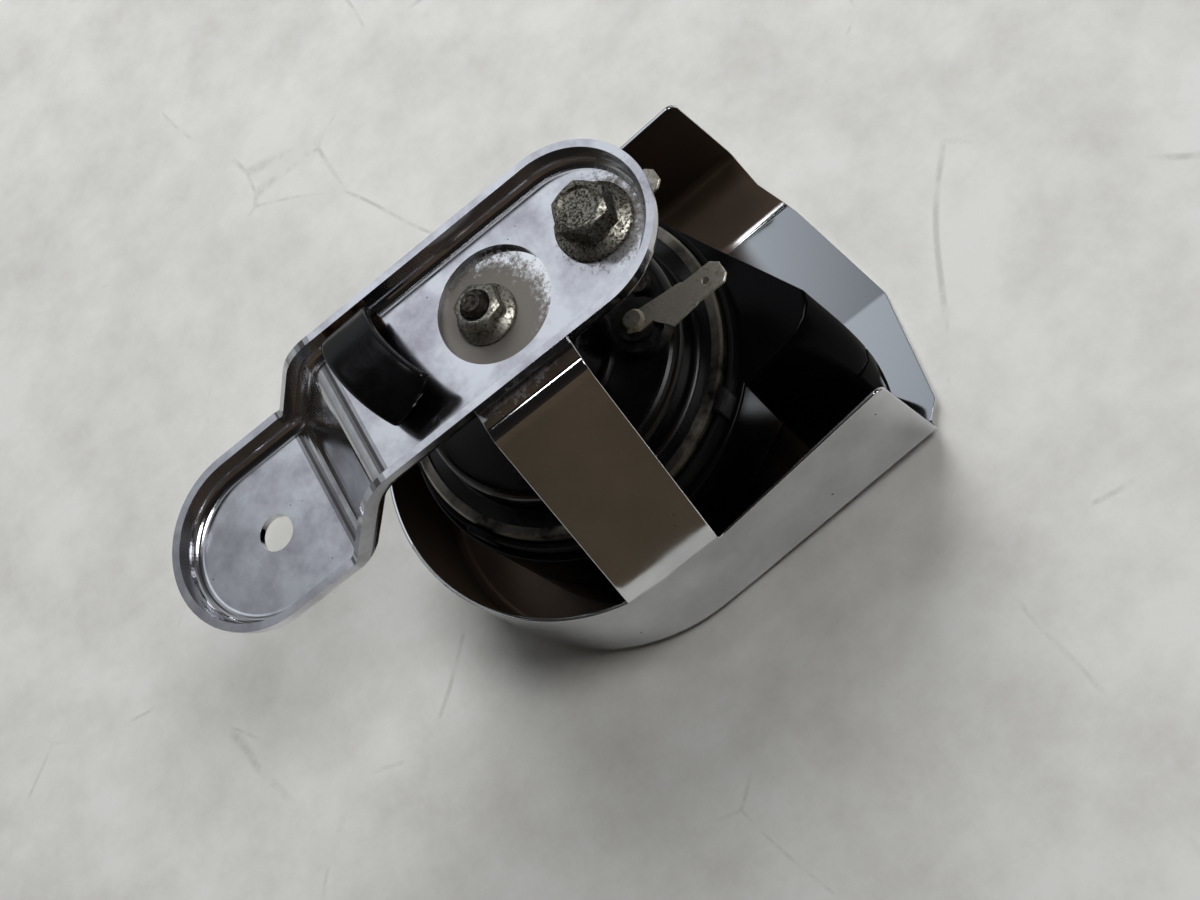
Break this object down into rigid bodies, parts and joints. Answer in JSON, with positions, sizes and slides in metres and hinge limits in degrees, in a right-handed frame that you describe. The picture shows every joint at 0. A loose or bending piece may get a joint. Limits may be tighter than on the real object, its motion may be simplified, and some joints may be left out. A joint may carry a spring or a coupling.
{
  "type": "motorcycle horn",
  "caption": "Motorcycle horn with a snail trumpet in a chrome cover open on one side, a stepped black housing with two spade terminals, and an S-bent tray bracket with a round window.",
  "frame": {"origin": "centre of the bracket's mounting hole, on the tab's upper face", "axes": "+X along the bracket towards the cover's open side, +Z out of the horn's rear, away from its front face"},
  "size_m": [0.1687, 0.1028, 0.1],
  "materials": {
    "zinc_bracket": "zinc plate, faintly spotted",
    "zinc_bolt": "dull zinc with rust pits",
    "chrome": "bright chrome, pitted in places",
    "spring_steel": "rusted",
    "black_sleeve": "dull",
    "black_paint": "worn satin",
    "bare_steel": "worn bare metal",
    "black_plastic": "moulded, satin",
    "terminal_steel": "dull plating with rust spots",
    "stud_steel": "dark, threaded",
    "gasket_paper": "dry",
    "soft_iron": "turned",
    "spring_brass": "rolled",
    "copper_wire": "lacquered winding",
    "natural_nylon": "moulded",
    "brown_phenolic": "turned"
  },
  "bodies": {
    "horn": {"mounting_bracket": "zinc_bracket", "bracket_bolt": "zinc_bolt", "bracket_weld_nut": "zinc_bolt", "wire_clip": "spring_steel", "wire_clip_sleeve": "black_sleeve", "horn_cover": "chrome", "horn_stud": "stud_steel", "stud_nut": "zinc_bolt", "horn_housing": "black_paint", "crimp_ring": "bare_steel", "housing_gasket": "gasket_paper", "diaphragm": "bare_steel", "tone_gasket": "gasket_paper", "pole_core": "soft_iron", "coil_bobbin": "natural_nylon", "coil_winding": "copper_wire", "contact_post": "brown_phenolic", "fixed_contact_arm": "spring_brass", "moving_contact_arm": "spring_brass", "terminal_bosses": "black_plastic", "terminal_blades": "terminal_steel", "terminal_rivets": "terminal_steel", "trumpet_rear": "black_plastic", "trumpet_front": "black_plastic"},
    "plunger": {"armature": "soft_iron", "armature_nut": "zinc_bolt"},
    "screw": {"tuning_screw": "spring_brass"}
  },
  "joints": [
    {"name": "armature_stroke", "type": "slide", "parent": "horn", "child": "plunger", "axis": [0, 0, 1], "range_m": [-0.0003, 0.0007], "stiffness_N_per_m": 20000, "deforming": ["diaphragm", "moving_contact_arm"]},
    {"name": "tuning_turn", "type": "hinge", "parent": "horn", "child": "screw", "pos_m": [0.1012, -0.001, -0.0119], "axis": [0, 0, 1], "continuous": true}
  ]
}
